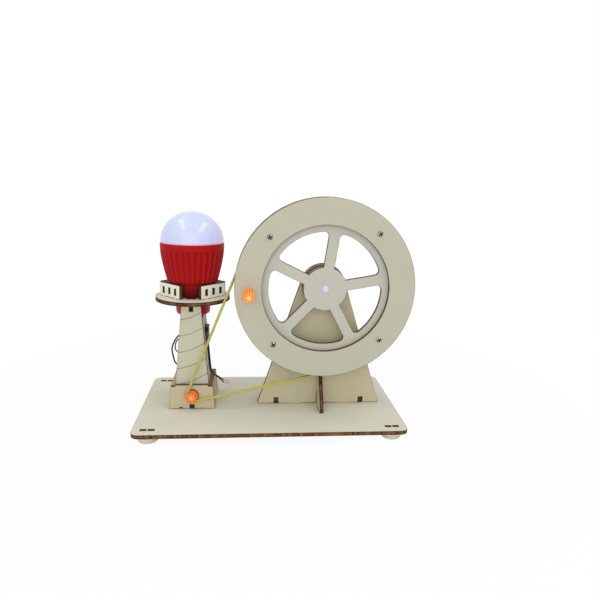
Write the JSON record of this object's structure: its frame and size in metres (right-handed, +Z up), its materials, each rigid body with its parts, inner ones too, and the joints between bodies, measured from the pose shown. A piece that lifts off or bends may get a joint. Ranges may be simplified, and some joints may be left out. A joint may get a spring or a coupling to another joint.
{
  "type": "hand crank generator",
  "caption": "Plywood science kit: a crank wheel drives a small motor by belt, which lights the bulb on top of a lighthouse tower.",
  "frame": {"origin": "centre of the overall outline at the bottom of the rubber feet", "axes": "+X to the right along the base board, from the tower to the wheel; +Y back, away from the crank; +Z up"},
  "size_m": [0.2074, 0.11, 0.173],
  "materials": {
    "birch_plywood": "unfinished laser-cut birch plywood with burnt brown edges",
    "pale_foot_rubber": "matt translucent rubber",
    "bright_steel": "bright plated steel",
    "orange_plastic": "moulded, slightly satin",
    "white_plastic": "plain moulded plastic",
    "red_bulb_plastic": "satin ribbed plastic",
    "milky_dome_plastic": "smooth milky diffuser",
    "led_board_white": "white circuit board",
    "yellow_belt_rubber": "smooth translucent yellow cord",
    "navy_plug_plastic": "dark blue plastic",
    "black_insulation": "soft black insulation",
    "red_insulation": "soft red insulation"
  },
  "bodies": {
    "frame": {"base_board": "birch_plywood", "foot_front_left": "pale_foot_rubber", "foot_front_right": "pale_foot_rubber", "foot_rear_left": "pale_foot_rubber", "foot_rear_right": "pale_foot_rubber", "stand_plate": "birch_plywood", "stand_gusset_left": "birch_plywood", "stand_gusset_right": "birch_plywood", "stand_brace": "birch_plywood", "spacer_disc_front": "birch_plywood", "spacer_disc_rear": "birch_plywood", "tower_front": "birch_plywood", "tower_rear": "birch_plywood", "tower_side_left": "birch_plywood", "tower_side_right": "birch_plywood", "plinth_front": "birch_plywood", "plinth_rear": "birch_plywood", "plinth_side_left": "birch_plywood", "plinth_side_right": "birch_plywood", "motor_rail": "birch_plywood", "gallery_platform": "birch_plywood", "gallery_wall_front_left": "birch_plywood", "gallery_wall_front_right": "birch_plywood", "gallery_wall_rear_left": "birch_plywood", "gallery_wall_rear_right": "birch_plywood", "bulb_body": "red_bulb_plastic", "bulb_cap": "red_bulb_plastic", "bulb_dome": "milky_dome_plastic", "led_board": "led_board_white", "motor_can": "bright_steel", "motor_end_cap": "white_plastic", "drive_belt": "yellow_belt_rubber", "usb_socket": "bright_steel", "usb_plug": "navy_plug_plastic", "socket_tail": "black_insulation", "bulb_cable": "black_insulation", "motor_wire_black": "black_insulation", "motor_wire_red": "red_insulation", "spare_lead_black": "black_insulation", "spare_lead_red": "red_insulation"},
    "wheel": {"wheel_ring_front": "birch_plywood", "wheel_ring_rear": "birch_plywood", "wheel_spoked_disc": "birch_plywood", "rim_screw_1": "bright_steel", "rim_screw_2": "bright_steel", "rim_screw_3": "bright_steel", "rim_screw_4": "bright_steel", "rim_nut_1": "bright_steel", "rim_nut_2": "bright_steel", "rim_nut_3": "bright_steel", "rim_nut_4": "bright_steel", "axle": "white_plastic", "axle_collar": "white_plastic", "crank_screw": "bright_steel", "crank_nut": "bright_steel"},
    "knob": {"crank_knob": "orange_plastic"},
    "pulley": {"motor_pulley": "orange_plastic", "motor_shaft": "bright_steel"}
  },
  "joints": [
    {"name": "wheel_spin", "type": "hinge", "parent": "frame", "child": "wheel", "pos_m": [0.03565, -0.0155, 0.105], "axis": [0, 1, 0], "continuous": true},
    {"name": "knob_spin", "type": "hinge", "parent": "wheel", "child": "knob", "pos_m": [-0.02155, -0.0203, 0.1016], "axis": [0, 1, 0], "continuous": true},
    {"name": "pulley_spin", "type": "hinge", "parent": "frame", "child": "pulley", "pos_m": [-0.06475, -0.0155, 0.0186], "axis": [0, 1, 0], "continuous": true}
  ],
  "couplings": [
    {"joint": "pulley_spin", "follows": "wheel_spin", "ratio": 14.633}
  ]
}
